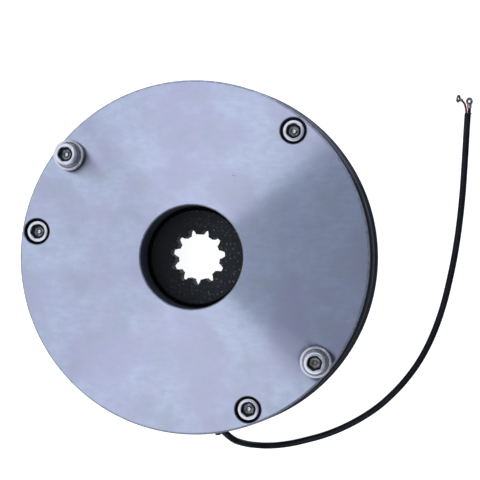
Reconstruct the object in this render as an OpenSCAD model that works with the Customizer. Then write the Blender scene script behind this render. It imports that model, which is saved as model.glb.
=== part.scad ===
// Spring-applied electric brake, round and flat, with a lead at its side.
// The origin is the centre of the flange plate's underside. +Z points out of the magnet body's face.

/* [Magnet body and flange] */
// Outside diameter of the magnet body
body_d = 170; // [160:1:190]
// Thickness of the magnet body
magnet_t = 16.5; // [16.5:0.5:22]
// Thickness of the flange plate
flange_t = 12; // [11:0.5:16]
// Distance that the flange plate's rim stands out past the body
rim_proud = 3; // [2:0.1:4]
// Thickness of that rim
rim_t = 6; // [5:0.5:6.5]
// Chamfer on the outer edges
edge_chamfer = 1; // [0.5:0.1:1.2]
// Diameter of the bore through the magnet body
bore_d = 50; // [46:1:54]
// Chamfer at the mouth of the bore
bore_chamfer = 0.6; // [0.3:0.1:1]
// Diameter of the hole through the flange plate
flange_bore_d = 44; // [36:1:60]

/* [Screws] */
// Distance from the body's edge in to the axes of the mounting screws
screw_inset = 7.5; // [7:0.25:8.5]
// Number of mounting screws
screw_count = 3; // [2, 3]
// Angle of the first mounting screw
screw_angle = 50.7; // [45:0.1:55]
// Diameter of the screws' thread
thread_d = 6; // [5:0.5:6.5]
// Diameter of a cap head
head_d = 10.5; // [9.5:0.1:10.6]
// Height of a cap head
head_h = 6; // [5:0.5:6.5]
// Width across the flats of the key socket
socket_af = 5; // [4:0.5:5.5]
// Depth of the key socket
socket_depth = 3; // [2:0.5:4]
// Diameter of the countersink at the socket's mouth
socket_mouth_d = 7; // [6.4:0.1:7.4]
// Diameter of the counterbores for the recessed heads
counterbore_d = 12.8; // [12:0.1:13]
// Depth of a recessed head's top below the face
head_recess = 1; // [0.5:0.1:1.2]
// Clearance hole round a thread
clear_hole_d = 6.6; // [6.6:0.1:7.2]

/* [Release screws] */
// Distance from the body's edge in to the axes of the release screws
release_inset = 7.5; // [7:0.25:9]
// Angle of the first release screw
release_angle = 140.5; // [136:0.5:144]
// Length of a release screw under its head
release_screw_l = 25; // [24.8:0.1:26]
// Outside diameter of a dished collar
collar_d = 15; // [14:0.5:15.5]
// Height of a dished collar
collar_h = 3; // [2.5:0.1:3.5]
// Depth of the dish in a collar
dish_depth = 1; // [0.6:0.1:1.2]
// Width of a collar's rim
rim_w = 1.1; // [0.8:0.1:1.5]

/* [Rotor] */
// Play between the rotor's edge and the gap sleeves
rotor_play = 2; // [1:0.25:6]
// Thickness of the rotor's plate
core_t = 3; // [2.5:0.1:4]
// Thickness of one friction lining
lining_t = 2; // [1.5:0.1:2.5]
// Inside diameter of the friction linings
lining_bore_d = 96; // [80:1:110]
// Diameter of the splined hub
hub_d = 47; // [42:0.5:48]
// Distance from the hub's ends to the rotor's braking plane and to the magnet body
hub_end_gap = 0.45; // [0.3:0.05:0.6]
// Number of tooth spaces in the spline
spline_z = 11; // [9:1:13]
// Module of the spline
spline_m = 2.25; // [2:0.05:2.5]
// Angle of the tooth space that points down
spline_angle = 267.6; // [260:0.1:280]

/* [Armature and springs] */
// Distance from the body's edge in to the armature plate's edge
armature_inset = 2; // [2:0.25:3.5]
// Thickness of the armature plate
armature_t = 5; // [4:0.1:5.8]
// Diameter of the armature plate's bore
armature_bore_d = 56; // [53:0.5:60]
// Air gap that the coil closes
air_gap = 0.4; // [0.3:0.05:0.6]
// Number of thrust springs
spring_count = 6; // [3, 6]
// Distance from the body's edge in to the axes of the springs
spring_inset = 17; // [16.5:0.25:18]
// Outside diameter of a spring
spring_d = 7.4; // [7:0.1:7.8]
// Wire diameter of a spring
spring_wire = 1.2; // [1:0.1:1.4]
// Turns of a spring
spring_turns = 4.5; // [3.5:0.5:5.5]
// Depth of a spring pocket
pocket_depth = 9; // [8:0.5:9]

/* [Coil] */
// Width of the coil groove
coil_w = 24; // [20:0.5:27]
// Steel between the coil groove and the spring pockets
coil_wall = 3.75; // [2.75:0.25:6]
// Depth of the coil groove
coil_depth = 10.5; // [9.5:0.5:11]
// Wall of the bobbin
bobbin_wall = 1.2; // [0.8:0.1:1.6]
// Thickness of the resin that closes the groove
potting_t = 1.3; // [1:0.1:2]
// Depth of the resin below the pole face
potting_recess = 0.2; // [0.1:0.05:0.4]

/* [Gap sleeves] */
// Outside diameter of a gap sleeve
sleeve_d = 11; // [10.5:0.1:11.5]
// Diameter of the sleeve's spigot in the magnet body
spigot_d = 9; // [8.4:0.1:9.4]
// Length of that spigot
spigot_l = 4; // [3:0.5:4.5]

/* [Dust seal] */
// Height of the dust seal above the side of the body
seal_proud = 1.5; // [1.2:0.1:2]
// Depth of the grooves that hold the seal's lips
lip_depth = 1.5; // [1:0.1:1.5]
// Height of a lip
lip_h = 2; // [1.5:0.1:2.2]
// Distance from the pole face to the magnet body's lip groove
lip_edge = 1.5; // [1.2:0.1:1.8]
// Distance from the flange plate's rim to its lip groove
lip_rise = 1.2; // [1:0.1:1.4]
// Height of the seal's rounded upper shoulder
shoulder_h = 5; // [3:0.5:7]

/* [Lead] */
// Angle of the lead hole's mouth on the magnet body
lead_angle = 279.5; // [276:0.5:282]
// Heading of the lead hole, seen from above
lead_heading = -52; // [-60:1:-45]
// Height of the lead hole above the pole face
lead_height = 8; // [7.5:0.1:8]
// Diameter of the lead's sheath
sheath_d = 3.2; // [3:0.1:3.3]
// Diameter of the red wire
red_wire_d = 1.1; // [1:0.1:1.4]
// Diameter of the black wire
black_wire_d = 1.6; // [1.4:0.1:1.7]
// Outside radius of an eyelet's ring
ring_r = 2; // [1.7:0.1:2.2]
// Radius of the hole in an eyelet's ring
ring_hole_r = 0.6; // [0.5:0.1:0.8]
// Diameter of the grommet's tube
grommet_d = 6; // [5.5:0.1:6.4]
// Diameter of the grommet's head
grommet_head_d = 8; // [7:0.1:8.2]

/* [Hidden] */
$fn = 96;

// Overshoot of a cut past the face that it opens
cut = 0.5;
// Radial play of a shank in its threaded hole, and of a part in its seat
fit = 0.05;
// Play between the linings and the faces that they brake on
running_gap = 0.05;
// Play round a part that must never touch
free_gap = 0.4;
// Fixing holes for the flange plate, between the mounting screws, one thread size smaller
fixing_hole_d = 5.5;
fixing_head_d = 10;
fixing_head_h = 5.4;
// Stop of the mounting screws above the flange's underside
screw_foot = 1.5;
// Chamfers on cap heads and thread ends
head_chamfer = 0.6;
tip_chamfer = 0.8;
// Height of a release head above its collar's seat
release_play = 1;
// Radial play of a release screw in the magnet body, and of a spring in its pocket
release_hole_play = 0.5;
spring_play = 0.55;
// Play of the bobbin in the coil groove
bobbin_play = 0.5;
grommet_l = 8;
grommet_head_h = 2;
spotface_depth = 1.2;
// Lead's clearance in the grommet
lead_play = 0.12;

body_r = body_d / 2;
rim_r = body_r + rim_proud;
seal_r = body_r + seal_proud;
lip_foot = rim_t + lip_rise;
screw_r = body_r - screw_inset;
release_r = body_r - release_inset;
spring_r = body_r - spring_inset;
armature_r = body_r - armature_inset;
rotor_r = screw_r - sleeve_d / 2 - rotor_play;
release_hole_d = thread_d + 2 * release_hole_play;
pocket_d = spring_d + 2 * spring_play;
coil_out_r = spring_r - pocket_d / 2 - coil_wall;
coil_in_r = coil_out_r - coil_w;
// Inner passage of the lead, past the grommet
passage_d = sheath_d + 2 * free_gap;
lower_face = flange_t + running_gap;
core_z = lower_face + lining_t;
upper_face = core_z + core_t + lining_t;
armature_z = upper_face + running_gap;
armature_top = armature_z + armature_t;
magnet_z = armature_top + air_gap;
face_z = magnet_z + magnet_t;
head_seat_z = face_z - head_recess - head_h;
hub_z = lower_face + hub_end_gap;
hub_top = magnet_z - hub_end_gap / 2;
lip_z = magnet_z + lip_edge;
lead_z = magnet_z + lead_height;
spring_top = magnet_z + pocket_depth;

// Spline: pitch, tip and root radii, and the base circle of 30 degree flanks
spline_pitch_r = spline_m * spline_z / 2;
spline_tip_r = spline_pitch_r - 0.5 * spline_m;
spline_root_r = spline_pitch_r + 0.64 * spline_m;
spline_base_r = spline_pitch_r * cos(30);

// Mouth of the lead hole on the magnet body's side
lead_mouth = [body_r * cos(lead_angle), body_r * sin(lead_angle), lead_z];

// Centreline of the sheath: through the magnet body, down to the surface, then round to its end.
// Each point has its place from the mouth of the lead hole, and its share of the mouth's height.
lead_route = [
    [-16, 20.5, 1], [-9.5, 12.1, 1], [-4.4, 5.6, 1], [-1, 1.2, 1], [1.4, -1.4, 0.981],
    [3.6, -3.7, 0.919], [5.4, -5.5, 0.822], [6.9, -6.8, 0.699], [8.5, -8, 0.563],
    [10.6, -9.2, 0.421], [13.3, -10.2, 0.278], [17.6, -11, 0.155], [23.5, -11.1, 0.065],
    [30.2, -10.3, 0.013], [37, -8.7, 0], [46, -6.1, 0], [55, -2.5, 0], [64, 2.2, 0], [73, 8.2, 0],
    [81, 15.3, 0], [88, 23.1, 0], [94, 31.5, 0], [99.2, 41.1, 0], [103.3, 51.1, 0],
    [106.6, 61.5, 0], [109.2, 72.2, 0], [111.4, 82.8, 0], [113.2, 93.8, 0], [114.6, 104.8, 0],
    [115.7, 115.8, 0], [116.5, 126.8, 0], [117.2, 137.8, 0], [117.8, 147.8, 0], [118.3, 155.3, 0]
];
// Centrelines of the wires, from the sheath's end into the eyelets, with real heights
red_route = [
    [117.6, 155.4, 1.5], [117.55, 156.5, 1.1], [117.35, 157.6, 0.8], [117.2, 158.7, 0.65],
    [116.95, 159.6, 0.65], [116.55, 160.4, 0.8], [116.05, 161, 1.15], [115.6, 161.4, 1.7],
    [115.25, 161.65, 2.4], [114.9, 161.75, 3], [114.6, 161.8, 3.6]
];
black_route = [
    [119, 155.4, 1.5], [119.1, 156.4, 1.3], [119.1, 157.4, 1.2], [119.1, 158.4, 1.2],
    [119.1, 159.1, 1.2]
];
// Where each eyelet's barrel starts
red_end = [115.25, 161.65, 2.4];
black_end = [119.1, 157.75, 1.2];

// Angle between the lead hole and the radius at its mouth, and its length up to the coil groove
lead_skew = lead_heading - lead_angle + 360;
lead_run = body_r * cos(lead_skew) - sqrt(pow(coil_out_r, 2) - pow(body_r * sin(lead_skew), 2));
// Angle of the first spring, halfway between a mounting screw and a release screw
spring_angle = screw_angle + 180 / spring_count;

// Points of a circular arc in a profile
function arc(c, r, a0, a1, n) =
    [for (i = [0 : n]) c + r * [cos(a0 + (a1 - a0) * i / n), sin(a0 + (a1 - a0) * i / n)]];

function unit(v) = v / norm(v);

// Smooth curve through the points of a route, with n steps to a stretch
function smooth(p, n) = let (k = len(p) - 1) concat(
    [for (i = [0 : k - 1], j = [0 : n - 1])
        let (a = p[max(i - 1, 0)], b = p[i], c = p[i + 1], d = p[min(i + 2, k)], t = j / n)
        0.5 * (2 * b + (c - a) * t + (2 * a - 5 * b + 4 * c - d) * t * t
            + (3 * b - a - 3 * c + d) * t * t * t)],
    [p[k]]);

// Round bar swept along a list of points that nowhere run straight up
module bar(p, r, sides) {
    k = len(p) - 1;
    points = [for (i = [0 : k])
        let (t = unit(p[min(i + 1, k)] - p[max(i - 1, 0)]),
            u = unit(cross([0, 0, 1], t)),
            v = cross(t, u))
        for (j = [0 : sides - 1])
            p[i] + r * cos(360 * j / sides) * v + r * sin(360 * j / sides) * u];
    walls = [for (i = [0 : k - 1], j = [0 : sides - 1])
        let (m = (j + 1) % sides)
        [i * sides + j, i * sides + m, (i + 1) * sides + m, (i + 1) * sides + j]];
    ends = [[for (j = [sides - 1 : -1 : 0]) j], [for (j = [0 : sides - 1]) k * sides + j]];
    polyhedron(points, concat(walls, ends), convexity = 10);
}

// Copies of the children round the axis
module around(count, radius, first) {
    for (i = [0 : count - 1])
        rotate(first + i * 360 / count)
            translate([radius, 0, 0]) children();
}

// Drilled hole, from z0 up to z1
module drill(d, z0, z1) {
    translate([0, 0, z0]) cylinder(d = d, h = z1 - z0);
}

// Places the children at the mouth of the lead hole, with +X along the hole, outwards
module at_lead() {
    translate(lead_mouth) rotate(lead_heading) children();
}

// Groove for a lip of the seal, as an area of the profile
module lip_groove(z) {
    translate([body_r - lip_depth, z]) square([lip_depth + cut, lip_h]);
}

module magnet_body() {
    color("lightsteelblue") difference() {
        rotate_extrude() difference() {
            polygon([
                [bore_d / 2, magnet_z], [body_r - edge_chamfer / 2, magnet_z],
                [body_r, magnet_z + edge_chamfer / 2], [body_r, face_z - edge_chamfer],
                [body_r - edge_chamfer, face_z], [bore_d / 2 + bore_chamfer, face_z],
                [bore_d / 2, face_z - bore_chamfer]
            ]);
            translate([coil_in_r, magnet_z - cut]) square([coil_w, coil_depth + cut]);
            lip_groove(lip_z);
        }
        around(screw_count, screw_r, screw_angle) {
            drill(counterbore_d, head_seat_z, face_z + cut);
            drill(clear_hole_d, magnet_z, face_z);
            drill(spigot_d + 2 * fit, magnet_z - cut, magnet_z + spigot_l);
        }
        around(2, release_r, release_angle) drill(release_hole_d, magnet_z - cut, face_z + cut);
        around(spring_count, spring_r, spring_angle) drill(pocket_d, magnet_z - cut, spring_top);
        at_lead() rotate([0, -90, 0]) {
            cylinder(d = grommet_d + 2 * fit, h = grommet_l);
            cylinder(d = passage_d, h = lead_run + passage_d);
            translate([0, 0, -grommet_head_d])
                cylinder(d = grommet_head_d + 4 * fit, h = grommet_head_d + spotface_depth);
        }
    }
}

module flange_plate() {
    color("lightgray") difference() {
        rotate_extrude() difference() {
            polygon([
                [flange_bore_d / 2 + bore_chamfer, 0], [rim_r - edge_chamfer, 0],
                [rim_r, edge_chamfer], [rim_r, rim_t - edge_chamfer / 2],
                [rim_r - edge_chamfer / 2, rim_t], [body_r, rim_t],
                [body_r, flange_t - edge_chamfer / 2],
                [body_r - edge_chamfer / 2, flange_t], [flange_bore_d / 2 + bore_chamfer, flange_t],
                [flange_bore_d / 2, flange_t - bore_chamfer], [flange_bore_d / 2, bore_chamfer]
            ]);
            lip_groove(lip_foot);
        }
        around(screw_count, screw_r, screw_angle) drill(thread_d + 2 * fit, -cut, flange_t + cut);
        around(screw_count, screw_r, screw_angle + 180 / screw_count) {
            drill(fixing_hole_d, -cut, flange_t);
            drill(fixing_head_d, flange_t - fixing_head_h, flange_t + cut);
        }
    }
}

module armature_plate() {
    notch_d = sleeve_d + 2 * free_gap;
    color("silver") difference() {
        rotate_extrude() polygon([
            [armature_bore_d / 2, armature_z], [armature_r - edge_chamfer / 2, armature_z],
            [armature_r, armature_z + edge_chamfer / 2],
            [armature_r, armature_top - edge_chamfer / 2],
            [armature_r - edge_chamfer / 2, armature_top], [armature_bore_d / 2, armature_top]
        ]);
        around(screw_count, screw_r, screw_angle) {
            drill(notch_d, armature_z - cut, armature_top + cut);
            translate([0, -notch_d / 2, armature_z - cut])
                cube([notch_d, notch_d, armature_t + 2 * cut]);
        }
        around(2, release_r, release_angle)
            drill(thread_d + 2 * fit, armature_z - cut, armature_top + cut);
    }
}

// Angle at which an involute of the spline's base circle has reached radius r
function involute_at(r) = let (a = acos(spline_base_r / r)) tan(a) * 180 / PI - a;

// Half the angle of a tooth space at radius r
function space_half(r) = 90 / spline_z + involute_at(spline_pitch_r) - involute_at(r);

// One tooth space of the internal spline, from inside the tip circle out to the root circle
module tooth_space() {
    steps = 5;
    inner_r = max(spline_tip_r, spline_base_r) - 0.02;
    radii = [for (i = [0 : steps]) inner_r + (spline_root_r - inner_r) * i / steps];
    polygon(concat([[0, 0]],
        [for (r = radii) r * [cos(space_half(r)), -sin(space_half(r))]],
        [for (i = [steps : -1 : 0])
            radii[i] * [cos(space_half(radii[i])), sin(space_half(radii[i]))]]));
}

module spline_hole() {
    circle(r = spline_tip_r);
    for (i = [0 : spline_z - 1]) rotate(spline_angle + i * 360 / spline_z) tooth_space();
}

module rotor_hub() {
    lead_in = 0.5;
    color("dimgray") difference() {
        union() {
            drill(2 * rotor_r, core_z, core_z + core_t);
            rotate_extrude() polygon([
                [0, hub_z], [hub_d / 2 - lead_in, hub_z], [hub_d / 2, hub_z + lead_in],
                [hub_d / 2, hub_top - lead_in], [hub_d / 2 - lead_in, hub_top], [0, hub_top]
            ]);
        }
        translate([0, 0, hub_z - cut]) linear_extrude(hub_top - hub_z + 2 * cut) spline_hole();
    }
}

// Flat ring, such as a friction lining
module ring(outer_d, inner_d, z, t) {
    difference() {
        drill(outer_d, z, z + t);
        drill(inner_d, z - cut, z + t + cut);
    }
}

module upper_lining() {
    color("darkolivegreen") ring(2 * rotor_r, lining_bore_d, core_z + core_t, lining_t);
}

module lower_lining() {
    color("darkolivegreen") ring(2 * rotor_r, lining_bore_d, lower_face, lining_t);
}

bobbin_z = magnet_z + potting_recess + potting_t;
bobbin_top = magnet_z + coil_depth;
winding_in_r = coil_in_r + bobbin_wall;
bobbin_out_r = coil_out_r - bobbin_play;

module coil_bobbin() {
    flange_w = bobbin_out_r - coil_in_r;
    color("ivory") rotate_extrude() union() {
        translate([coil_in_r, bobbin_z]) square([bobbin_wall, bobbin_top - bobbin_z]);
        translate([coil_in_r, bobbin_z]) square([flange_w, bobbin_wall]);
        translate([coil_in_r, bobbin_top - bobbin_wall]) square([flange_w, bobbin_wall]);
    }
}

module coil_winding() {
    color("peru") ring(2 * bobbin_out_r - 2 * bobbin_wall, 2 * winding_in_r,
        bobbin_z + bobbin_wall, bobbin_top - bobbin_z - 2 * bobbin_wall);
}

module coil_potting() {
    color("black") ring(2 * coil_out_r, 2 * coil_in_r, magnet_z + potting_recess, potting_t);
}

// Share of a spring's climb after a share s of its turns, with a flat turn at each end
function spring_rise(s) = let (dead = 0.8 / spring_turns)
    min(max((s - dead) / (1 - 2 * dead), 0), 1);

module thrust_springs() {
    steps = 12;
    coil_r = (spring_d - spring_wire) / 2;
    foot = armature_top + spring_wire / 2;
    climb = spring_top - armature_top - spring_wire;
    wire_points = [for (i = [0 : steps * spring_turns])
        let (a = 360 * i / steps, s = i / (steps * spring_turns))
        [coil_r * cos(a), coil_r * sin(a), foot + climb * spring_rise(s)]];
    color("gray") around(spring_count, spring_r, spring_angle)
        bar(wire_points, spring_wire / 2, 6);
}

module gap_sleeves() {
    color("gainsboro") around(screw_count, screw_r, screw_angle) rotate_extrude() polygon([
        [clear_hole_d / 2, flange_t], [sleeve_d / 2, flange_t], [sleeve_d / 2, magnet_z],
        [spigot_d / 2, magnet_z], [spigot_d / 2, magnet_z + spigot_l],
        [clear_hole_d / 2, magnet_z + spigot_l]
    ]);
}

// Cap screw with its head's seat at z = 0 and its shank below
module cap_screw(length) {
    mouth_depth = (socket_mouth_d - socket_af) / 2;
    difference() {
        rotate_extrude() polygon([
            [0, -length], [thread_d / 2 - tip_chamfer, -length], [thread_d / 2, tip_chamfer - length],
            [thread_d / 2, 0], [head_d / 2, 0], [head_d / 2, head_h - head_chamfer],
            [head_d / 2 - head_chamfer, head_h], [0, head_h]
        ]);
        translate([0, 0, head_h - socket_depth])
            cylinder(d = socket_af / cos(30), h = socket_depth + cut, $fn = 6);
        translate([0, 0, head_h - mouth_depth])
            cylinder(d1 = socket_af, d2 = socket_mouth_d, h = mouth_depth + 0.001);
    }
}

module mounting_screws() {
    color("gainsboro") around(screw_count, screw_r, screw_angle)
        translate([0, 0, head_seat_z]) cap_screw(head_seat_z - screw_foot);
}

module release_screw(angle) {
    color("gainsboro") around(1, release_r, angle)
        translate([0, 0, face_z + collar_h - dish_depth + release_play]) cap_screw(release_screw_l);
}

module release_screw_left() release_screw(release_angle);

module release_screw_right() release_screw(release_angle + 180);

module release_collars() {
    seat_r = head_d / 2 + free_gap;
    seat_z = face_z + collar_h - dish_depth;
    edge = 0.3;
    color("white") around(2, release_r, release_angle) rotate_extrude() polygon([
        [clear_hole_d / 2, face_z], [collar_d / 2 - edge, face_z], [collar_d / 2, face_z + edge],
        [collar_d / 2, face_z + collar_h - edge], [collar_d / 2 - edge, face_z + collar_h],
        [collar_d / 2 - rim_w, face_z + collar_h], [seat_r, seat_z], [clear_hole_d / 2, seat_z]
    ]);
}

module dust_seal() {
    top = lip_z + lip_h;
    wall_r = body_r + fit;
    foot_z = rim_t + fit;
    foot_r = 0.8;
    shoulder = [for (a = [0 : 15 : 90])
        [wall_r + (seal_r - wall_r) * cos(a), top - shoulder_h + shoulder_h * sin(a)]];
    color([0.12, 0.12, 0.13]) rotate_extrude() polygon(concat(
        [[body_r - lip_depth, top], [body_r - lip_depth, lip_z], [wall_r, lip_z],
            [wall_r, lip_foot + lip_h], [body_r - lip_depth, lip_foot + lip_h],
            [body_r - lip_depth, lip_foot], [wall_r, lip_foot], [wall_r, foot_z]],
        arc([seal_r - foot_r, foot_z + foot_r], foot_r, -90, 0, 5),
        shoulder));
}

module lead_grommet() {
    color([0.1, 0.1, 0.1]) at_lead() rotate([0, -90, 0]) difference() {
        union() {
            cylinder(d = grommet_d, h = grommet_l - fit);
            translate([0, 0, spotface_depth - grommet_head_h])
                cylinder(d = grommet_head_d, h = grommet_head_h);
        }
        translate([0, 0, -grommet_head_d]) cylinder(d = sheath_d + 2 * lead_play, h = 3 * grommet_l);
    }
}

// Places the children where the lead hole's mouth is in plan
module from_mouth() {
    translate([lead_mouth.x, lead_mouth.y, 0]) children();
}

module lead_sheath() {
    rest = sheath_d / 2;
    color([0.07, 0.07, 0.08]) from_mouth()
        bar([for (p = smooth(lead_route, 2)) [p.x, p.y, rest + max(p.z, 0) * (lead_z - rest)]], rest, 8);
}

module red_wire() {
    color("firebrick") from_mouth() bar(smooth(red_route, 2), red_wire_d / 2, 8);
}

module black_wire() {
    color([0.06, 0.06, 0.06]) from_mouth() bar(smooth(black_route, 2), black_wire_d / 2, 8);
}

// Sheet that the eyelets are stamped from, and the closed end of a barrel
sheet = 0.5;
barrel_l = 1.8;
barrel_wall = 0.35;
barrel_end = 0.4;

// Crimped eyelet: its barrel starts at the origin and its ring lies beyond it along +X
module eyelet(d) {
    ring_x = barrel_l + ring_r - barrel_end;
    strap_w = d + 2 * barrel_wall;
    difference() {
        union() {
            rotate([0, 90, 0]) cylinder(d = strap_w, h = barrel_l);
            translate([ring_x, 0, -sheet / 2]) cylinder(r = ring_r, h = sheet);
            translate([barrel_l - barrel_end, -strap_w / 2, -sheet / 2])
                cube([ring_r, strap_w, sheet]);
        }
        rotate([0, 90, 0]) drill(d + 2 * fit, -cut, barrel_l - barrel_end);
        translate([ring_x, 0, 0]) drill(2 * ring_hole_r, -sheet, sheet);
    }
}

module red_eyelet() {
    color("silver") from_mouth() translate(red_end) rotate([0, -60, 166]) eyelet(red_wire_d);
}

module black_eyelet() {
    color("silver") from_mouth() translate(black_end) rotate([0, -4, 90]) rotate([30, 0, 0])
        eyelet(black_wire_d);
}

magnet_body();
flange_plate();
armature_plate();
rotor_hub();
upper_lining();
lower_lining();
coil_bobbin();
coil_winding();
coil_potting();
thrust_springs();
gap_sleeves();
mounting_screws();
release_screw_left();
release_screw_right();
release_collars();
dust_seal();
lead_grommet();
lead_sheath();
red_wire();
black_wire();
red_eyelet();
black_eyelet();
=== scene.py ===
import math

import bmesh
import bpy
from bpy.props import FloatProperty, FloatVectorProperty, IntProperty, PointerProperty
from mathutils import Matrix, Vector


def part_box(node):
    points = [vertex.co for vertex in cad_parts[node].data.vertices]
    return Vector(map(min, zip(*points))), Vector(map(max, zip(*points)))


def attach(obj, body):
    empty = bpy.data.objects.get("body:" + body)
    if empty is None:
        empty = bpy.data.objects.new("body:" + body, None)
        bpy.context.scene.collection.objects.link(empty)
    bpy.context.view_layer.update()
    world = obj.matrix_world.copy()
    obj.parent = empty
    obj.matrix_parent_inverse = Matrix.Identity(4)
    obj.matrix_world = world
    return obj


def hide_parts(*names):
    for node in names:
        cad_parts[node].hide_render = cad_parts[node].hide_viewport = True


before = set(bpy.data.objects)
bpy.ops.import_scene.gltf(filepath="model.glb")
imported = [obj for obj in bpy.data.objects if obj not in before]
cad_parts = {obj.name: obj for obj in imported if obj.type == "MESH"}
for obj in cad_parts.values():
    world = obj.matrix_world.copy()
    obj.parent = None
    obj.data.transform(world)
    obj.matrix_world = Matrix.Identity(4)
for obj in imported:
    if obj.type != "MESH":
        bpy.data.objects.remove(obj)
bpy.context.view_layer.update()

bl_info = {
    "name": "Spring-applied brake",
    "version": (1, 0, 0),
    "blender": (4, 5, 0),
    "location": "View3D > Sidebar > Brake",
    "description": "Dresses the packed brake in its real finishes and sets up a plain studio",
    "category": "Object",
}

# Meshes are drawn in millimetres and brought to metres by to_piece; settings, cords, lights and
# Geometry Nodes are in metres
MM = 0.001
BODY_LOW, BODY_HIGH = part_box("magnet_body")
HUB_LOW, HUB_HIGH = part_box("rotor_hub")
SEAL_LOW, SEAL_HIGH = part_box("dust_seal")
FLANGE_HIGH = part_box("flange_plate")[1]

# The camera that the photograph was taken with, fitted to the face, the bore and the screws
CAMERA_PLACE = Vector((0.102146, 0.001656, 0.598933))
CAMERA_RIGHT = Vector((0.990244, 0.0, -0.139346))
CAMERA_UP = Vector((0.001605, 0.999934, 0.011407))
CAMERA_FORWARD = Vector((-0.139337, 0.011519, -0.990178))
CAMERA_LENS = 88.8
# Corner where the three overhead lights meet: the spot that the camera sees mirrored in the face
CORNER = Vector((-0.221, -0.004, 1.25))
# Slope by which the turning rings of the face lean outwards
RING_LEAN = 0.21
# Height of a cap screw's head, in millimetres
HEAD_HEIGHT = 6

# Centreline of the lead, as in the part's source: place from the mouth of the lead hole in
# millimetres, and share of the mouth's height
LEAD_ROUTE = (
    (-16, 20.5, 1), (-9.5, 12.1, 1), (-4.4, 5.6, 1), (-1, 1.2, 1), (1.4, -1.4, 0.981),
    (3.6, -3.7, 0.919), (5.4, -5.5, 0.822), (6.9, -6.8, 0.699), (8.5, -8, 0.563),
    (10.6, -9.2, 0.421), (13.3, -10.2, 0.278), (17.6, -11, 0.155), (23.5, -11.1, 0.065),
    (30.2, -10.3, 0.013), (37, -8.7, 0), (46, -6.1, 0), (55, -2.5, 0), (64, 2.2, 0), (73, 8.2, 0),
    (81, 15.3, 0), (88, 23.1, 0), (94, 31.5, 0), (99.2, 41.1, 0), (103.3, 51.1, 0),
    (106.6, 61.5, 0), (109.2, 72.2, 0), (111.4, 82.8, 0), (113.2, 93.8, 0), (114.6, 104.8, 0),
    (115.7, 115.8, 0), (116.5, 126.8, 0), (117.2, 137.8, 0), (117.8, 147.8, 0), (118.3, 155.3, 0),
)
# Centrelines of the two wires, from the mouth in plan and with real heights, in millimetres
RED_ROUTE = (
    (117.6, 155.4, 1.5), (117.55, 156.5, 1.1), (117.35, 157.6, 0.8), (117.2, 158.7, 0.65),
    (116.95, 159.6, 0.65), (116.55, 160.4, 0.8), (116.05, 161, 1.15), (115.6, 161.4, 1.7),
    (115.25, 161.65, 2.4), (114.9, 161.75, 3), (114.6, 161.8, 3.6),
)
BLACK_ROUTE = (
    (119, 155.4, 1.5), (119.1, 156.4, 1.3), (119.1, 157.4, 1.2), (119.1, 158.4, 1.2),
    (119.1, 159.1, 1.2),
)
# Where each eyelet's barrel starts
RED_END = (115.25, 161.65, 2.4)
BLACK_END = (119.1, 157.75, 1.2)


def linear(code):
    """Linear colour of an sRGB hex value."""
    parts = [int(code[i:i + 2], 16) / 255 for i in (1, 3, 5)]
    return [p / 12.92 if p <= 0.04045 else ((p + 0.055) / 1.055) ** 2.4 for p in parts]


def a_length(name, description, default, least):
    """Length, in metres."""
    return FloatProperty(
        name=name, description=description, default=default, min=least, unit="LENGTH", precision=5)


def an_angle(name, description, degrees):
    """Angle, with its default in degrees."""
    return FloatProperty(
        name=name, description=description, default=math.radians(degrees), unit="ROTATION",
        precision=4)


def a_count(name, description, default, least, most):
    """Whole number."""
    return IntProperty(name=name, description=description, default=default, min=least, max=most)


def a_colour(name, description, code):
    """Colour, with its default as an sRGB hex value."""
    return FloatVectorProperty(
        name=name, description=description, default=linear(code), subtype="COLOR", size=3, min=0,
        max=1)


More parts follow.
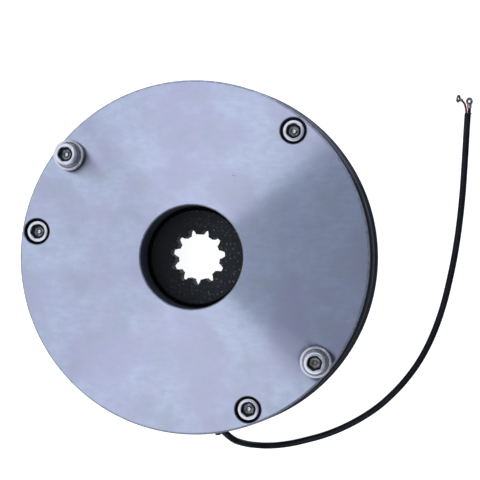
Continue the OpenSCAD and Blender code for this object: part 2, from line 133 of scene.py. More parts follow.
class BrakeSizes(bpy.types.PropertyGroup):
    """Sizes of the brake's pieces."""

    body_radius: a_length("Body radius", "Outside radius of the magnet body", BODY_HIGH.y, 50 * MM)
    rim_radius: a_length(
        "Rim radius", "Outside radius of the flange plate's rim", FLANGE_HIGH.y, 50 * MM)
    rim_thickness: a_length("Rim thickness", "Thickness of the flange plate's rim", 6 * MM, 2 * MM)
    face_height: a_length(
        "Face height", "Height of the turned face above the surface", BODY_HIGH.z, 20 * MM)
    pole_height: a_length(
        "Pole height", "Height of the magnet body's pole face", BODY_LOW.z, 10 * MM)
    flange_thickness: a_length(
        "Flange thickness", "Thickness of the flange plate", FLANGE_HIGH.z, 5 * MM)
    bore_radius: a_length(
        "Bore radius", "Radius of the bore through the magnet body", 25 * MM, 10 * MM)
    flange_bore_radius: a_length(
        "Flange bore radius", "Radius of the hole through the flange plate", 22 * MM, 10 * MM)
    screw_circle: a_length(
        "Screw circle", "Radius of the circle that all the screws stand on", 77.5 * MM, 30 * MM)
    screw_angle: an_angle("Screw angle", "Angle of the first mounting screw", 50.7)
    release_angle: an_angle("Release angle", "Angle of the first release screw", 140.5)
    screw_count: a_count("Mounting screws", "Number of mounting screws", 3, 2, 3)
    head_radius: a_length("Head radius", "Radius of a cap screw's head", 5.25 * MM, 4 * MM)
    knurl_count: a_count("Knurl ridges", "Ridges round a cap screw's head", 48, 24, 72)
    spline_spaces: a_count("Spline spaces", "Tooth spaces in the hub's spline", 11, 9, 13)
    spline_module: a_length("Spline module", "Module of the hub's spline", 2.25 * MM, 2 * MM)
    spline_angle: an_angle("Spline angle", "Angle of the tooth space that points down", 267.6)
    lead_angle: an_angle("Lead angle", "Angle of the lead hole's mouth on the magnet body", 279.5)
    lead_heading: an_angle("Lead heading", "Heading of the lead hole, seen from above", -52)
    lead_height: a_length("Lead height", "Height of the lead hole's axis", 32.5 * MM, 20 * MM)
    sheath_diameter: a_length("Sheath diameter", "Diameter of the lead's sheath", 3.2 * MM, 1 * MM)
    red_wire_diameter: a_length(
        "Red wire diameter", "Diameter of the red wire over its insulation", 1.1 * MM, 0.5 * MM)
    black_wire_diameter: a_length(
        "Black wire diameter", "Diameter of the black wire over its insulation", 1.6 * MM,
        0.5 * MM)


class BrakeColours(bpy.types.PropertyGroup):
    """Colours of the brake's finishes."""

    turned: a_colour("Turned face", "Colour of the turned steel face", "#c4c7db")
    blackened: a_colour("Blackened steel", "Colour of the blackened bore and sides", "#24262d")
    plate: a_colour("Ground plate", "Colour of the ground steel plates", "#a9adb4")
    plated: a_colour("Plated screws", "Colour of the nickel-plated screws and collars", "#e2dee4")
    rotor: a_colour("Rotor", "Colour of the phosphated rotor", "#24272d")
    rubber: a_colour("Rubber", "Colour of the dust seal and the grommet", "#1d1d21")
    black_vinyl: a_colour("Black vinyl", "Colour of the sheath and the black wire", "#0f1015")
    red_vinyl: a_colour("Red vinyl", "Colour of the red wire", "#8c2b42")


# Nodes, for finishes and for pieces that repeat


def add(tree, kind, inputs=None, **settings):
    """Adds a node with its settings, and gives its inputs a value or a link."""
    node = tree.nodes.new(kind)
    for key, value in settings.items():
        setattr(node, key, value)
    for key, value in (inputs or {}).items():
        if isinstance(value, bpy.types.NodeSocket):
            tree.links.new(value, node.inputs[key])
        else:
            node.inputs[key].default_value = value
    return node


def arithmetic(tree, operation, *values):
    """Result of an operation on one value or more."""
    return add(tree, "ShaderNodeMath", dict(enumerate(values)), operation=operation).outputs[0]


class Nodes:
    """Shader nodes in the making, and the place on the part that their patterns go by."""

    def __init__(self, tree, place="Object", own_place=False):
        self.tree = tree
        if own_place:
            source = add(tree, "ShaderNodeAttribute", attribute_name="own_place")
            self.here = source.outputs["Vector"]
        else:
            self.here = add(tree, "ShaderNodeTexCoord").outputs[place]

    def math(self, operation, *values):
        """Result of an operation on one value or more."""
        return arithmetic(self.tree, operation, *values)

    def times(self, first, second):
        """Product of two values."""
        return self.math("MULTIPLY", first, second)

    def vector(self, operation, *values, **named):
        """Result of a vector operation, which for some is a single value."""
        node = add(self.tree, "ShaderNodeVectorMath", {**dict(enumerate(values)), **named},
                   operation=operation)
        single = operation in ("DISTANCE", "DOT_PRODUCT", "LENGTH")
        return node.outputs["Value" if single else "Vector"]

    def spread(self, value, low, high, out_low=0.0, out_high=1.0):
        """Maps a value from one range to another, and clamps it."""
        return add(self.tree, "ShaderNodeMapRange", {
            "Value": value, "From Min": low, "From Max": high,
            "To Min": out_low, "To Max": out_high}).outputs["Result"]

    def away(self, spot):
        """Distance from a spot, in metres."""
        return self.vector("DISTANCE", self.here, spot)

    def axis(self, name):
        """Place along one axis."""
        return add(self.tree, "ShaderNodeSeparateXYZ", {"Vector": self.here}).outputs[name]

    def aside(self, lean):
        """Place along a level line towards +X that leans to -Y."""
        return self.math("SUBTRACT", self.axis("X"), self.times(self.axis("Y"), lean))

    def flat(self):
        """Place with its height taken away."""
        return self.vector("MULTIPLY", self.here, (1, 1, 0))

    def radius(self):
        """Distance from the axis, in metres."""
        return self.vector("LENGTH", self.flat())

    def grain(self, size, detail=3, stretch=(1, 1, 1), roughness=0.5):
        """Noise with features about size millimetres across, stretched along the axes."""
        scaled = add(self.tree, "ShaderNodeMapping", {"Vector": self.here, "Scale": stretch})
        return add(self.tree, "ShaderNodeTexNoise", {
            "Vector": scaled.outputs["Vector"], "Scale": 1 / (size * MM), "Detail": detail,
            "Roughness": roughness}).outputs["Fac"]

    def rings(self, width, detail):
        """Uneven rings about the axis, as a turning tool leaves them, width millimetres wide."""
        return add(self.tree, "ShaderNodeTexNoise", {
            "W": self.times(self.radius(), 1 / (width * MM)), "Scale": 1.0, "Detail": detail,
            "Roughness": 0.7}, noise_dimensions="1D").outputs["Fac"]

    def specks(self, cell, size, share, here=None, soft=0.5, dimensions="3D"):
        """1 inside scattered round specks of a size in millimetres: one to a cell, of which a
        share is kept."""
        dots = add(self.tree, "ShaderNodeTexVoronoi", {
            "Vector": here or self.here, "Scale": 1 / (cell * MM), "Randomness": 0.85},
            voronoi_dimensions=dimensions)
        near = self.spread(dots.outputs["Distance"], size / cell, size / cell * soft)
        kept = add(self.tree, "ShaderNodeSeparateColor", {"Color": dots.outputs["Color"]})
        return self.times(near, self.math("LESS_THAN", kept.outputs["Red"], share))


def four_values(colour):
    """Colour with its alpha, from an sRGB hex value or from three linear values."""
    return (*(linear(colour) if isinstance(colour, str) else colour), 1)


def shaded(colour, *shares):
    """Colour with each of its three values made lighter or darker."""
    return [value * share for value, share in zip(colour, shares)]


class Finish(Nodes):
    """A material in the making, with its shader and its colour so far."""

    def __init__(self, name, colour, metallic, roughness, own_place=False, **sockets):
        self.material = bpy.data.materials.new(name)
        self.material.use_nodes = True
        self.material.diffuse_color = four_values(colour)
        super().__init__(self.material.node_tree, own_place=own_place)
        self.shader = self.tree.nodes["Principled BSDF"]
        self.shader.inputs["Base Color"].default_value = four_values(colour)
        sockets.update(Metallic=metallic, Roughness=roughness)
        for key, value in sockets.items():
            self.shader.inputs[key.replace("_", " ")].default_value = value
        self.tint = colour

    def link(self, socket, name):
        """Links a socket to the shader."""
        self.tree.links.new(socket, self.shader.inputs[name])

    def mix(self, share, first, second):
        """Mix of two colours, each a socket, an sRGB hex value or three linear values."""
        first, second = (colour if isinstance(colour, bpy.types.NodeSocket)
                         else four_values(colour) for colour in (first, second))
        return add(self.tree, "ShaderNodeMix", {0: share, 6: first, 7: second},
                   data_type="RGBA").outputs[2]

    def lay(self, share, colour, most=None):
        """Lays a colour over the one so far, by a share that may be cut to a part of itself."""
        share = self.times(share, most) if most else share
        self.tint = self.mix(share, self.tint, colour)

    def bumps(self, height, depth):
        """Normal over a height map whose full range is depth millimetres deep."""
        return add(self.tree, "ShaderNodeBump", {
            "Height": height, "Distance": depth * MM, "Strength": 1.0}).outputs["Normal"]

    def done(self, rough=None, height=None, depth=None):
        """Links the colour, a roughness and bumps, and gives the material."""
        self.link(self.tint, "Base Color")
        if rough is not None:
            self.link(rough, "Roughness")
        if height is not None:
            self.link(self.bumps(height, depth), "Normal")
        return self.material


def turned_steel(sizes, colours):
    """Free-cutting steel, faced on a lathe: fine rings that spread every highlight along the
    radius, so light and dark lie on the face in wedges from its centre."""
    base = colours.turned
    steel = Finish("turned_steel", base, 1.0, 0.3, Anisotropic=0.93, Anisotropic_Rotation=0.25)
    # Tool feed of 0.15 mm, drawn as uneven bands of 0.5 mm and wider, since finer ones don't show
    feed = steel.rings(0.5, 4)
    stain = steel.grain(12, 4, roughness=0.6)
    steel.tint = steel.mix(
        steel.spread(steel.grain(26), 0.42, 0.58), shaded(base, 1.03, 1.07, 1.06),
        shaded(base, 0.96, 0.89, 0.94))
    steel.lay(steel.spread(stain, 0.5, 0.66, 0, 0.7), shaded(base, 0.88, 0.92, 0.84))
    # Film of oil, wiped in short strokes that have dried lighter and darker
    wiped = steel.grain(5, 4, (1, 2.2, 1), 0.7)
    steel.lay(steel.spread(wiped, 0.38, 0.66, 0, 0.55), shaded(base, 0.83, 0.83, 0.88))
    steel.lay(steel.spread(feed, 0.3, 0.7, 0, 0.2), shaded(base, 0.8, 0.8, 0.8))
    # Painted shadow of each collar on the face: a dark ring round its foot, most of it to one side
    # of the second
    for angle, over, reach in (
            (sizes.release_angle, (0.2 * MM, -0.2 * MM), 7.9 * MM),
            (sizes.release_angle + math.pi, (2.1 * MM, -1.3 * MM), 8.7 * MM)):
        foot = (sizes.screw_circle * math.cos(angle) + over[0],
                sizes.screw_circle * math.sin(angle) + over[1], BODY_HIGH.z)
        steel.lay(steel.spread(steel.away(foot), reach, 7.1 * MM), "#343646", 0.85)
    steel.lay(steel.specks(9, 0.28, 0.16), "#4a4c5c", 0.75)
    # A few pits lie together 42 mm from the axis
    patch = steel.away((19.5 * MM, 37.8 * MM, BODY_HIGH.z))
    pits = steel.times(steel.specks(1.1, 0.3, 0.5), steel.spread(patch, 3.4 * MM, 1.6 * MM))
    steel.lay(pits, "#2c2e3c", 0.95)
    tangent = add(steel.tree, "ShaderNodeTangent", direction_type="RADIAL", axis="Z")
    steel.link(tangent.outputs["Tangent"], "Tangent")
    # The tool's nose leaves the outer flank of each ring flatter, so the rings lean outwards
    outward = steel.vector("NORMALIZE", steel.flat())
    leaning = steel.vector("SCALE", outward, Scale=RING_LEAN)
    total = steel.vector("ADD", steel.bumps(feed, 0.004), leaning)
    steel.link(steel.vector("NORMALIZE", total), "Normal")
    return steel.done(steel.math("ADD", steel.spread(feed, 0.25, 0.75, 0.27, 0.33),
                                 steel.spread(stain, 0.5, 0.8, 0, 0.04)))


def chamfered_edge():
    """The same steel on its chamfers and lips, cut coarser and gone dull: a pale grey line
    between the bright face and the dark sides."""
    steel = Finish("chamfered_steel", "#c4c8d4", 0.8, 0.45)
    nicks = steel.grain(2.2, 5, roughness=0.65)
    steel.lay(steel.spread(nicks, 0.4, 0.68), "#9599a8")
    return steel.done(steel.spread(nicks, 0.3, 0.7, 0.42, 0.58), nicks, 0.03)


def oiled_and_shaded_socket(name, bare, oiled):
    """Bare steel down a key socket, under patches of old oil; the dark colours that it is given are
    painted shade in the recess.
    """
    steel = Finish(name, bare, 1.0, 0.36)
    film = steel.grain(1.3, 4)
    steel.lay(steel.spread(film, 0.38, 0.66), oiled)
    return steel.done(None, film, 0.02)


def painted_light_one_side(finish):
    """Lays a pale painted highlight, broken up like dust, on the side that faces 65 degrees, where
    the side is seen lightest.
    """
    painted_light_side = math.radians(65)
    facing = finish.vector("DOT_PRODUCT", finish.here, (math.cos(painted_light_side), math.sin(painted_light_side), 0))
    broken = finish.spread(finish.grain(6, 5, (1, 1, 1.8), 0.65), 0.38, 0.62, 0.45, 1)
    share = finish.spread(facing, 0.76 * BODY_HIGH.y, BODY_HIGH.y, 0, 0.8)
    finish.lay(finish.times(share, broken), "#7d7683")


def blackened_steel(colours):
    """Steel with a black oxide, matt from the bath, rubbed to grey on its edges, with painted light
    in the bore and on one side.
    """
    steel = Finish("blackened_steel", colours.blackened, 0.0, 0.45, Specular_IOR_Level=0.3)
    fine = steel.grain(0.8, 4)
    steel.lay(steel.spread(steel.grain(9), 0.4, 0.7), "#34353d")
    # Painted light: the bore, which reaches 25 mm from the axis, is laid lighter
    steel.lay(steel.spread(steel.radius(), 27 * MM, 26 * MM), "#4a4c57")
    edge = steel.spread(steel.axis("Z"), BODY_HIGH.z - 0.5 * MM, BODY_HIGH.z - 0.05 * MM)
    rubbed = steel.times(edge, steel.spread(steel.grain(3, 4), 0.52, 0.62))
    steel.lay(rubbed, "#878a98", 0.5)
    # Painted light on the side that faces 65 degrees
    painted_light_one_side(steel)
    return steel.done(steel.spread(fine, 0.3, 0.7, 0.34, 0.52), fine, 0.02)


def ground_plate(colours):
    """Mild steel plate, surface-ground: straight fine scratches under a thin film of oil, with
    freckles of rust."""
    steel = Finish("ground_steel", colours.plate, 1.0, 0.38)
    scratch = steel.grain(9, 5, (1, 22, 22), 0.65)
    steel.lay(steel.spread(steel.grain(22), 0.4, 0.68), "#8d8c90")
    steel.lay(steel.spread(steel.grain(5, 5), 0.66, 0.76, 0, 0.35), "#6b5648")
    return steel.done(steel.spread(scratch, 0.3, 0.7, 0.28, 0.46), scratch, 0.01)


def nickel_plate(colours):
    """Nickel-plated steel, cold-headed: bright, with a slight orange peel and handling marks."""
    nickel = Finish("nickel_plated_steel", colours.plated, 1.0, 0.2)
    marks = nickel.grain(1.6, 4, (1, 9, 3), 0.7)
    nickel.lay(nickel.spread(nickel.grain(3), 0.45, 0.72, 0, 0.5), "#b3b0ba")
    nickel.lay(nickel.specks(1.5, 0.16, 0.25), "#5c5c60", 0.7)
    return nickel.done(nickel.spread(marks, 0.3, 0.7, 0.14, 0.3), nickel.grain(1.1), 0.012)


def turned_collar(colours):
    """Nickel-plated steel, turned and satin: the tool's rings and streaks about the collar's own
    axis, with a pale painted highlight that keeps one side of the dish from going dark, and painted
    shade on the other."""
    nickel = Finish("turned_nickel_plated_steel", colours.plated, 0.5, 0.45, own_place=True)
    # Tool rings of 0.15 mm, drawn 0.4 mm wide, since finer ones don't show
    rings = nickel.rings(0.4, 3)
    patch = nickel.spread(nickel.grain(2.6, 4), 0.3, 0.5)
    share = nickel.times(nickel.spread(rings, 0.4, 0.58), patch)
    # Painted shade in the rings on one side of each dish, and a painted highlight on the other side
    aside = nickel.aside(0.4)
    nickel.lay(nickel.spread(aside, 1 * MM, -4 * MM), "#f2f1f8")
    painted_shade_share = nickel.spread(aside, -1 * MM, 4 * MM, 0.25, 1)
    nickel.lay(nickel.times(share, painted_shade_share), "#4f4d59")
    return nickel.done(nickel.spread(rings, 0.3, 0.7, 0.38, 0.58), rings, 0.03)


def phosphated_rotor(colours):
    """Sintered steel hub with a black phosphate coat, in which pores and pips show as pale dots."""
    coat = Finish("phosphated_sintered_steel", colours.rotor, 0.0, 0.55, Specular_IOR_Level=0.2)
    fine = coat.grain(0.6, 4)
    # Pips of uneven size and shape: the pattern's places are shaken, and coarse noise thins it
    noise = add(coat.tree, "ShaderNodeTexNoise", {
        "Vector": coat.here, "Scale": 1 / (1.3 * MM), "Detail": 3.0}).outputs["Color"]
    shaken = coat.vector("ADD", coat.here, coat.vector("SCALE", noise, Scale=1.8 * MM))
    thinned = coat.spread(coat.grain(3.2), 0.4, 0.6, 0.25, 1)
    pips = coat.times(coat.specks(2.1, 0.56, 0.55, shaken, 0.25, "2D"), thinned)
    dust = coat.specks(1.1, 0.22, 0.4, shaken, 0.4, "2D")
    # Painted light across the hub: darker towards -X and lighter towards +X, where the pale specks
    # show best
    painted_light_side = coat.spread(coat.aside(0.3), -15 * MM, 15 * MM, 0.05, 0.95)
    coat.lay(coat.spread(coat.grain(5), 0.4, 0.7), "#2f3036")
    coat.tint = coat.mix(painted_light_side, "#101114", coat.tint)
    coat.lay(coat.times(pips, painted_light_side), "#8f8b80", 0.75)
    coat.lay(coat.times(dust, painted_light_side), "#969288", 0.3)
    rough = coat.spread(fine, 0.3, 0.7, 0.4, 0.6)
    return coat.done(rough, coat.math("ADD", fine, pips), 0.06)


def friction_lining():
    """Pressed friction lining: brown-grey resin with chopped fibres and brass filings."""
    lining = Finish("friction_lining", "#4b4740", 0.0, 0.85)
    fibre = lining.grain(4, 4, (1, 7, 7), 0.7)
    lining.tint = lining.mix(lining.spread(fibre, 0.4, 0.7), "#3d3a35", "#6a655a")
    lining.lay(lining.specks(2, 0.3, 0.4), "#b08d4a")
    return lining.done(None, fibre, 0.08)


def moulded_nylon():
    """Glass-filled nylon, moulded: ivory, a little waxy."""
    nylon = Finish("moulded_nylon", "#d9d2bd", 0.0, 0.45)
    cloud = nylon.spread(nylon.grain(7, 4), 0.4, 0.65)
    nylon.tint = nylon.mix(cloud, "#ddd6c2", "#c9c0a6")
    return nylon.done(None, nylon.grain(0.5, 2), 0.02)


def enamelled_copper():
    """Enamelled magnet wire, wound in layers 0.5 mm apart: amber lacquer over bright copper."""
    copper = Finish("enamelled_copper_wire", "#a2542a", 1.0, 0.25)
    turn = copper.times(copper.axis("Z"), 2 * math.pi / (0.5 * MM))
    wave = copper.math("SINE", turn)
    copper.tint = copper.mix(copper.spread(wave, -1, 0.2), "#4d2312", "#b5673a")
    return copper.done(None, wave, 0.1)


def potting_resin():
    """Black casting resin, poured: glossy, with small pits and a faint skin."""
    resin = Finish("casting_resin", "#17171a", 0.0, 0.28)
    pits = resin.specks(4, 0.5, 0.35)
    resin.lay(pits, "#2c2a2b")
    return resin.done(resin.spread(resin.grain(6), 0.4, 0.7, 0.2, 0.4), pits, -0.1)


def spring_steel():
    """Patented spring wire, oiled: dark blue-grey with drawing lines."""
    wire = Finish("spring_steel", "#6a6f7a", 1.0, 0.34)
    lines = wire.grain(1.2, 4, (1, 1, 6))
    wire.tint = wire.mix(wire.spread(lines, 0.4, 0.7), "#565b66", "#868b95")
    return wire.done(None, lines, 0.01)


def seal_rubber(colours):
    """Moulded nitrile rubber, made once: matt black, with fine stipple, dust, a waxy bloom and
    painted light on one side.
    """
    if "nitrile_rubber" in bpy.data.materials:
        return bpy.data.materials["nitrile_rubber"]
    rubber = Finish("nitrile_rubber", colours.rubber, 0.0, 0.6, Specular_IOR_Level=0.2)
    bloom = rubber.grain(11, 4, (1, 1, 2.5), 0.6)
    rubber.lay(rubber.spread(bloom, 0.42, 0.78), "#29282e")
    rubber.lay(rubber.specks(3.5, 0.25, 0.3), "#77757a", 0.5)
    # Painted light on the side that faces 65 degrees
    painted_light_one_side(rubber)
    return rubber.done(rubber.spread(bloom, 0.4, 0.7, 0.46, 0.66), rubber.grain(0.5), 0.04)


def soft_vinyl(name, colour, worn):
    """Extruded soft PVC: smooth and slightly glossy, with drawn lines and a little dust."""
    vinyl = Finish(name, colour, 0.0, 0.4, Specular_IOR_Level=0.2)
    cloud = vinyl.grain(6, 4)
    vinyl.lay(vinyl.spread(cloud, 0.42, 0.72, 0, 0.5), worn)
    vinyl.lay(vinyl.specks(2.4, 0.2, 0.3), "#8a8a92", 0.35)
    return vinyl.done(vinyl.spread(cloud, 0.4, 0.7, 0.24, 0.36), vinyl.grain(0.9), 0.02)


def tinned_copper():
    """Stamped copper terminal, tinned: pale grey, mottled dull and bright."""
    tin = Finish("tinned_copper", "#b4b2b2", 1.0, 0.3)
    cloud = tin.grain(0.9, 4)
    tin.tint = tin.mix(tin.spread(cloud, 0.42, 0.65), "#c6c4c2", "#5d5b5e")
    return tin.done(tin.spread(cloud, 0.35, 0.7, 0.2, 0.42), cloud, 0.03)


# Meshes, in millimetres until they are pieces


def millimetres(*lengths):
    """Lengths in metres, given in millimetres."""
    return [length / MM for length in lengths]


def skin(bm, rings, slots=None, closed=False):
    """Skins a list of rings, each a list of points or one point for a pole."""
    made = [[bm.verts.new(p) for p in ring] for ring in rings]
    pairs = list(zip(made, made[1:])) + ([(made[-1], made[0])] if closed else [])
    for (low, high), slot in zip(pairs, slots or [0] * len(pairs)):
        count = max(len(low), len(high))
        for i in range(count):
            j = (i + 1) % count
            corners = dict.fromkeys((low[i % len(low)], low[j % len(low)],
                                     high[j % len(high)], high[i % len(high)]))
            if len(corners) > 2:
                bm.faces.new(corners).material_index = slot


def circle(radius, height, steps):
    """Ring of points round the axis, or the pole where the radius is nothing. A radius or a
    height that changes round the ring is a function of the angle."""
    if radius == 0:
        return [(0, 0, height)]
    points = []
    for i in range(steps):
        a = 2 * math.pi * i / steps
        r, z = (size(a) if callable(size) else size for size in (radius, height))
        points.append((r * math.cos(a), r * math.sin(a), z))
    return points


def eased(profile, ease, closed=True):
    """Profile of (radius, height, slot) with each corner rounded off by a small radius."""
    count = len(profile)
    out = []
    for i, (r, z, slot) in enumerate(profile):
        here = Vector((r, z))
        if not closed and i in (0, count - 1):
            out.append((r, z, slot))
            continue
        back = Vector(profile[i - 1][:2]) - here
        on = Vector(profile[(i + 1) % count][:2]) - here
        turn = math.pi - back.angle(on)
        reach = min(ease * math.tan(turn / 2), 0.45 * back.length, 0.45 * on.length)
        start, end = here + back.normalized() * reach, here + on.normalized() * reach
        steps = max(1, round(turn / math.radians(25)))
        for k in range(steps + 1):
            t = k / steps
            p = start * (1 - t) ** 2 + here * 2 * t * (1 - t) + end * t ** 2
            out.append((p.x, p.y, slot if k else profile[i - 1][2]))
    return out


def in_slot(points, slot=0):
    """Profile of (radius, height) points that share a slot."""
    return [(r, z, slot) for r, z in points]


def turn_up(profile, steps, closed=True):
    """Turned solid from a profile of (radius, height, slot) points."""
    bm = bmesh.new()
    skin(bm, [circle(r, z, steps) for r, z, _ in profile], [s for _, _, s in profile], closed)
    return bm


def merge(bm, other):
    """Moves one mesh in the making into another."""
    mesh = bpy.data.meshes.new("merged")
    other.to_mesh(mesh)
    other.free()
    bm.from_mesh(mesh)
    bpy.data.meshes.remove(mesh)


def put(name, data):
    """New object with its data, in the scene."""
    item = bpy.data.objects.new(name, data)
    bpy.context.collection.objects.link(item)
    return item


def to_piece(bm, name, materials, sharp=30):
    """Object in metres with a clean, outward-facing mesh, smooth but for its sharp edges."""
    bm.transform(Matrix.Scale(MM, 4))
    bmesh.ops.remove_doubles(bm, verts=bm.verts, dist=1e-7)
    bmesh.ops.recalc_face_normals(bm, faces=bm.faces)
    mesh = bpy.data.meshes.new(name)
    bm.to_mesh(mesh)
    bm.free()
    for material in materials:
        mesh.materials.append(material)
    piece = put(name, mesh)
    smooth_over(piece, sharp)
    return piece


def smooth_over(piece, sharp=30):
    """Smooth shading, with edges sharper than the angle kept and level faces left flat."""
    level = [abs(face.normal.z) < 0.9999 for face in piece.data.polygons]
    piece.data.polygons.foreach_set("use_smooth", level)
    piece.data.set_sharp_from_angle(angle=math.radians(sharp))


def keep_result(piece):
    """Keeps the plain mesh that a piece's modifiers make, and takes the modifiers away."""
    graph = bpy.context.evaluated_depsgraph_get()
    graph.update()
    mesh = bpy.data.meshes.new_from_object(piece.evaluated_get(graph))
    old = piece.data
    piece.modifiers.clear()
    piece.data = mesh
    mesh.name = piece.name
    bpy.data.meshes.remove(old)


def discard(piece):
    """Removes an object and its mesh."""
    mesh = piece.data
    bpy.data.objects.remove(piece)
    bpy.data.meshes.remove(mesh)


def carve(piece, cutter, sharp=30):
    """Cuts one object's mesh out of a piece."""
    cut = piece.modifiers.new("Cut", "BOOLEAN")
    cut.operation = "DIFFERENCE"
    cut.solver = "EXACT"
    cut.material_mode = "TRANSFER"
    cut.object = cutter
    keep_result(piece)
    discard(cutter)
    smooth_over(piece, sharp)


def around(count, radius, first):
    """Matrices that put a thing on a circle, turned with it."""
    return [Matrix.Rotation(first + i * 2 * math.pi / count, 4, "Z")
            @ Matrix.Translation((radius, 0, 0)) for i in range(count)]


def drill(bm, places, steps, start, cuts, slot=0, cone_slot=0):
    """Adds a stepped drill at each place. From its start on, each cut has a radius, the height
    that it reaches and, for a cone, the radius there."""
    profile = [(0, start, slot)]
    for radius, reach, *end in cuts:
        if profile[-1][:2] != (radius, start):
            profile.append((radius, start, cone_slot if end else slot))
        profile.append((end[0] if end else radius, reach, slot))
        start = reach
    profile.append((0, start, slot))
    for matrix in places:
        one = turn_up(profile, steps, closed=False)
        one.transform(matrix)
        merge(bm, one)


def lead_place(sizes):
    """Matrix in millimetres at the mouth of the lead hole, with +Z into the magnet body."""
    r, height = millimetres(sizes.body_radius, sizes.lead_height)
    mouth = (r * math.cos(sizes.lead_angle), r * math.sin(sizes.lead_angle), height)
    return (Matrix.Translation(mouth) @ Matrix.Rotation(sizes.lead_heading, 4, "Z")
            @ Matrix.Rotation(-math.pi / 2, 4, "Y"))


def settle(piece, body, slot, *nodes):
    """Rides a finished piece on its body, in place of its CAD nodes."""
    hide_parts(*nodes)
    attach(piece, body)
    return piece


def paint(node, material):
    """Gives a CAD node that stays its material."""
    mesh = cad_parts[node].data
    mesh.materials.clear()
    mesh.materials.append(material)


# Geometry Nodes trees


def tree_with(name, inputs):
    """New Geometry Nodes tree with named inputs: (tree, group input's outputs)."""
    tree = bpy.data.node_groups.new(name, "GeometryNodeTree")
    for label, kind, value in (("Geometry", "Geometry", None), *inputs):
        socket = tree.interface.new_socket(
            label, in_out="INPUT", socket_type="NodeSocket" + kind)
        if value is not None:
            socket.default_value = value
    tree.interface.new_socket("Geometry", in_out="OUTPUT", socket_type="NodeSocketGeometry")
    return tree, add(tree, "NodeGroupInput").outputs


def close_tree(tree, geometry, material):
    """Ends a tree in Realize Instances and Set Material, which leaves a part's second finish."""
    real = add(tree, "GeometryNodeRealizeInstances", {"Geometry": geometry})
    slot = add(tree, "GeometryNodeInputMaterialIndex").outputs["Material Index"]
    done = add(tree, "GeometryNodeSetMaterial", {
        "Geometry": real.outputs["Geometry"], "Material": material,
        "Selection": arithmetic(tree, "LESS_THAN", slot, 0.5)})
    add(tree, "NodeGroupOutput", {"Geometry": done.outputs["Geometry"]})
    return tree


def circle_tree():
    """Copies of a part on a circle, each turned about its own axis by chance."""
    tree, given = tree_with("Parts on a circle", (
        ("Part", "Object", None), ("Count", "Int", 3), ("Radius", "Float", 77.5 * MM),
        ("Angle", "Float", 0.0), ("Height", "Float", 34 * MM), ("Seed", "Int", 3),
        ("Finish", "Material", None)))
    index = add(tree, "GeometryNodeInputIndex").outputs[0]
    step = arithmetic(tree, "DIVIDE", 2 * math.pi, given["Count"])
    turn = arithmetic(tree, "MULTIPLY_ADD", index, step, given["Angle"])
    axes = {}
    for axis, operation in (("X", "COSINE"), ("Y", "SINE")):
        share = arithmetic(tree, operation, turn)
        axes[axis] = arithmetic(tree, "MULTIPLY", share, given["Radius"])
    spot = add(tree, "ShaderNodeCombineXYZ", {**axes, "Z": given["Height"]})
    points = add(tree, "GeometryNodePoints", {
        "Count": given["Count"], "Position": spot.outputs["Vector"]})
    # The random value's third and fourth sockets are its least and its most
    chance = add(tree, "FunctionNodeRandomValue", {
        2: 0.0, 3: math.radians(60), "Seed": given["Seed"]}, data_type="FLOAT")
    spin = add(tree, "ShaderNodeCombineXYZ", {"Z": chance.outputs[1]})
    part = add(tree, "GeometryNodeObjectInfo", {"Object": given["Part"]})
    copies = add(tree, "GeometryNodeInstanceOnPoints", {
        "Points": points.outputs["Points"], "Instance": part.outputs["Geometry"],
        "Rotation": spin.outputs["Vector"]})
    return close_tree(tree, copies.outputs["Instances"], given["Finish"])


def tube_tree():
    """Round tube along a line of points, closed at both ends."""
    tree, given = tree_with("Tube along a line", (
        ("Radius", "Float", 1.6 * MM), ("Sides", "Int", 24), ("Finish", "Material", None)))
    line = add(tree, "GeometryNodeMeshToCurve", {"Mesh": given["Geometry"]})
    ring = add(tree, "GeometryNodeCurvePrimitiveCircle", {
        "Resolution": given["Sides"], "Radius": given["Radius"]})
    solid = add(tree, "GeometryNodeCurveToMesh", {
        "Curve": line.outputs["Curve"], "Profile Curve": ring.outputs["Curve"],
        "Fill Caps": True})
    return close_tree(tree, solid.outputs["Mesh"], given["Finish"])


def grow(name, tree, values, start=None):
    """Runs a tree on a piece of that name and keeps the plain mesh that it makes."""
    piece = put(name, start or bpy.data.meshes.new(name))
    builder = piece.modifiers.new("Build", "NODES")
    builder.node_group = tree
    labels = {item.name: item.identifier for item in tree.interface.items_tree
              if item.item_type == "SOCKET" and item.in_out == "INPUT"}
    for label, value in values.items():
        builder[labels[label]] = value
    keep_result(piece)
    return piece


def parts_on_circle(name, part, count, radius, angle, height, finish, seed=3):
    """One mesh of copies of a part on a circle; the part itself is used up."""
    tree = bpy.data.node_groups.get("Parts on a circle") or circle_tree()
    piece = grow(name, tree, {
        "Part": part, "Count": count, "Radius": radius, "Angle": angle, "Height": height,
        "Seed": seed, "Finish": finish})
    discard(part)
    smooth_over(piece)
    return piece


def smooth_line(route, steps):
    """Smooth curve through a route's points, as in the part's source."""
    points = [Vector(p) for p in route]
    last = len(points) - 1
    out = []
    for i in range(last):
        a, b, c, d = (points[max(i - 1, 0)], points[i], points[i + 1], points[min(i + 2, last)])
        for j in range(steps):
            t = j / steps
            out.append(0.5 * (2 * b + (c - a) * t + (2 * a - 5 * b + 4 * c - d) * t * t
                              + (3 * b - a - 3 * c + d) * t * t * t))
    return out + [points[-1]]


def tube(name, line, radius, sides, finish):
    """Round tube along a line of points, in metres."""
    start = bpy.data.meshes.new(name)
    start.from_pydata(line, [(i, i + 1) for i in range(len(line) - 1)], [])
    tree = bpy.data.node_groups.get("Tube along a line") or tube_tree()
    piece = grow(name, tree, {"Radius": radius, "Sides": sides, "Finish": finish}, start)
    smooth_over(piece, 50)
    return piece


# Parts that are used more than once


